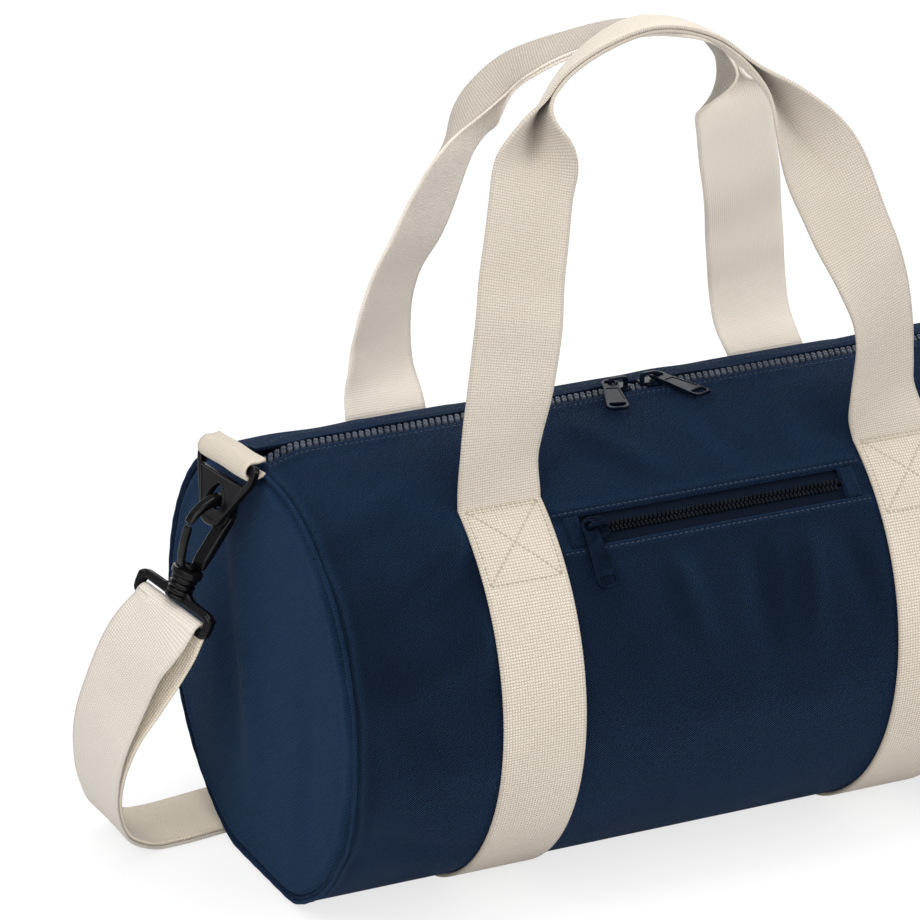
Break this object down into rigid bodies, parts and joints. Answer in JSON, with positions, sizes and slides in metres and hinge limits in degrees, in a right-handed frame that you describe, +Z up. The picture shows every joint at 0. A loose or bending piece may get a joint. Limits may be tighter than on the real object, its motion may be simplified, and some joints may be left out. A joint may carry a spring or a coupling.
{
  "type": "barrel duffel bag",
  "caption": "Small barrel duffel bag with two carrying handles, a zipped mouth, a zipped front pocket and a clip-on shoulder strap.",
  "frame": {"origin": "on the ground under the middle of the barrel", "axes": "+X along the barrel, -Y out of the front with the pocket, +Z up"},
  "size_m": [0.4616, 0.1936, 0.3476],
  "materials": {
    "canvas": "woven",
    "webbing": "ribbed",
    "zip_tape": "woven",
    "zip_coil": "satin",
    "zip_metal": "dark plated",
    "hardware": "moulded satin",
    "lining": "woven"
  },
  "bodies": {
    "bag": {"body_panel": "canvas", "end_panel_left": "canvas", "end_panel_right": "canvas", "mouth_tape_front": "zip_tape", "mouth_tape_rear": "zip_tape", "mouth_teeth_front": "zip_coil", "mouth_teeth_rear": "zip_coil", "pocket_pouch": "lining", "pocket_tab_left": "canvas", "pocket_tab_right": "canvas", "pocket_tape_lower": "zip_tape", "pocket_tape_upper": "zip_tape", "pocket_teeth_lower": "zip_coil", "pocket_teeth_upper": "zip_coil", "seam_binding_left": "lining", "seam_binding_right": "lining", "shoulder_strap": "webbing", "strap_adjuster": "hardware", "tab_left": "webbing", "tab_right": "webbing", "webbing_band_left": "webbing", "webbing_band_right": "webbing"},
    "handle_front": {"handle_front": "webbing"},
    "handle_rear": {"handle_rear": "webbing"},
    "mouth_slider_left": {"mouth_slider_left": "zip_metal"},
    "mouth_puller_left": {"mouth_puller_left": "zip_metal"},
    "mouth_slider_right": {"mouth_slider_right": "zip_metal"},
    "mouth_puller_right": {"mouth_puller_right": "zip_metal"},
    "pocket_slider": {"pocket_slider": "zip_metal"},
    "pocket_puller": {"pocket_puller": "zip_metal"},
    "strap_eye_left": {"strap_eye_left": "hardware"},
    "ring_left": {"ring_left": "hardware"},
    "hook_left": {"hook_left": "hardware"},
    "gate_left": {"gate_left": "hardware"},
    "strap_eye_right": {"strap_eye_right": "hardware"},
    "ring_right": {"ring_right": "hardware"},
    "hook_right": {"hook_right": "hardware"},
    "gate_right": {"gate_right": "hardware"}
  },
  "joints": [
    {"name": "handle_front_fold", "type": "hinge", "parent": "bag", "child": "handle_front", "pos_m": [0, -0.05371, 0.17156], "axis": [1, 0, 0], "range_deg": [0, 60]},
    {"name": "handle_rear_fold", "type": "hinge", "parent": "bag", "child": "handle_rear", "pos_m": [0, 0.05371, 0.17156], "axis": [-1, 0, 0], "range_deg": [0, 45]},
    {"name": "mouth_zip_left_slide", "type": "slide", "parent": "bag", "child": "mouth_slider_left", "axis": [-1, 0, 0], "range_m": [0, 0.134]},
    {"name": "mouth_puller_left_swing", "type": "hinge", "parent": "mouth_slider_left", "child": "mouth_puller_left", "pos_m": [-0.01125, 0.00414, 0.1902], "axis": [0, 0.0421, 0.9991], "range_deg": [-60, 25]},
    {"name": "mouth_zip_right_slide", "type": "slide", "parent": "bag", "child": "mouth_slider_right", "axis": [1, 0, 0], "range_m": [0, 0.134]},
    {"name": "mouth_puller_right_swing", "type": "hinge", "parent": "mouth_slider_right", "child": "mouth_puller_right", "pos_m": [0.01125, 0.00414, 0.1902], "axis": [0, 0.0421, 0.9991], "range_deg": [-25, 60]},
    {"name": "pocket_zip_slide", "type": "slide", "parent": "bag", "child": "pocket_slider", "axis": [1, 0, 0], "range_m": [0, 0.108]},
    {"name": "pocket_puller_swing", "type": "hinge", "parent": "pocket_slider", "child": "pocket_puller", "pos_m": [-0.05775, -0.0693, 0.16172], "axis": [0, -0.7046, 0.7096], "range_deg": [-60, 45]},
    {"name": "clip_swing_left", "type": "hinge", "parent": "bag", "child": "strap_eye_left", "pos_m": [-0.1801, 0.0085, 0.18463], "axis": [-0.1219, 0.9925, 0], "range_deg": [0, 30], "deforming": ["shoulder_strap"]},
    {"name": "ring_swing_left", "type": "hinge", "parent": "bag", "child": "ring_left", "pos_m": [-0.1801, 0.0085, 0.18463], "axis": [-0.1219, 0.9925, 0], "range_deg": [0, 30]},
    {"name": "hook_swivel_left", "type": "hinge", "parent": "strap_eye_left", "child": "hook_left", "pos_m": [-0.18732, 0.00761, 0.16568], "axis": [0.3818, -0.0792, 0.9208], "range_deg": [-15, 15]},
    {"name": "gate_spring_left", "type": "hinge", "parent": "hook_left", "child": "gate_left", "pos_m": [-0.20213, 0.00797, 0.14274], "axis": [-0.2865, 0.9371, 0.1994], "range_deg": [0, 18], "stiffness_Nm_per_rad": 0.004},
    {"name": "clip_swing_right", "type": "hinge", "parent": "bag", "child": "strap_eye_right", "pos_m": [0.1801, 0.0085, 0.18463], "axis": [-0.1219, -0.9925, 0], "range_deg": [0, 30], "deforming": ["shoulder_strap"]},
    {"name": "ring_swing_right", "type": "hinge", "parent": "bag", "child": "ring_right", "pos_m": [0.1801, 0.0085, 0.18463], "axis": [-0.1219, -0.9925, 0], "range_deg": [0, 30]},
    {"name": "hook_swivel_right", "type": "hinge", "parent": "strap_eye_right", "child": "hook_right", "pos_m": [0.18732, 0.00761, 0.16568], "axis": [0.3818, 0.0792, -0.9208], "range_deg": [-15, 15]},
    {"name": "gate_spring_right", "type": "hinge", "parent": "hook_right", "child": "gate_right", "pos_m": [0.20213, 0.00797, 0.14274], "axis": [-0.2865, -0.9371, -0.1994], "range_deg": [0, 18], "stiffness_Nm_per_rad": 0.004}
  ],
  "couplings": [
    {"joint": "ring_swing_left", "follows": "clip_swing_left", "ratio": 1},
    {"joint": "ring_swing_right", "follows": "clip_swing_right", "ratio": 1}
  ]
}
